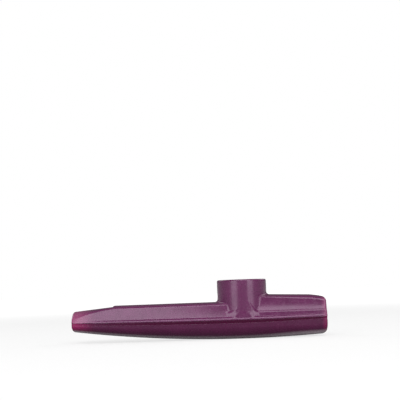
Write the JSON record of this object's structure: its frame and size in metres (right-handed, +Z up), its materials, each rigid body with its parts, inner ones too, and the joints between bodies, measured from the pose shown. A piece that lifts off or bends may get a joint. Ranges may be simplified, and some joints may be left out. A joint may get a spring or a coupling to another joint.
{
  "type": "kazoo",
  "caption": "Moulded plastic kazoo: boat-shaped hollow body in two glued halves, flat mouthpiece, open outlet, and a round turret whose push-in ring holds a buzzing film.",
  "frame": {"origin": "middle of the kazoo's length and width, on the surface that its keel rests on", "axes": "+X from the mouthpiece to the outlet, +Z up along the turret's axis, +Y across the body"},
  "size_m": [0.115, 0.0232, 0.0266],
  "materials": {
    "body_plastic": "glossy moulded plum plastic, faintly translucent",
    "ring_plastic": "glossy moulded plum plastic",
    "frame_plastic": "natural white plastic",
    "film": "thin translucent film"
  },
  "bodies": {
    "body": {"lower_shell": "body_plastic", "upper_shell": "body_plastic"},
    "ring": {"retaining_ring": "ring_plastic"},
    "film": {"membrane": "film", "membrane_frame": "frame_plastic"}
  },
  "joints": [
    {"name": "ring_pull", "type": "slide", "parent": "body", "child": "ring", "axis": [0, 0, 1], "range_m": [0, 0.024]},
    {"name": "membrane_lift", "type": "slide", "parent": "body", "child": "film", "axis": [0, 0, 1], "range_m": [0, 0.012]}
  ],
  "couplings": [
    {"joint": "membrane_lift", "follows": "ring_pull", "ratio": 0.5}
  ]
}
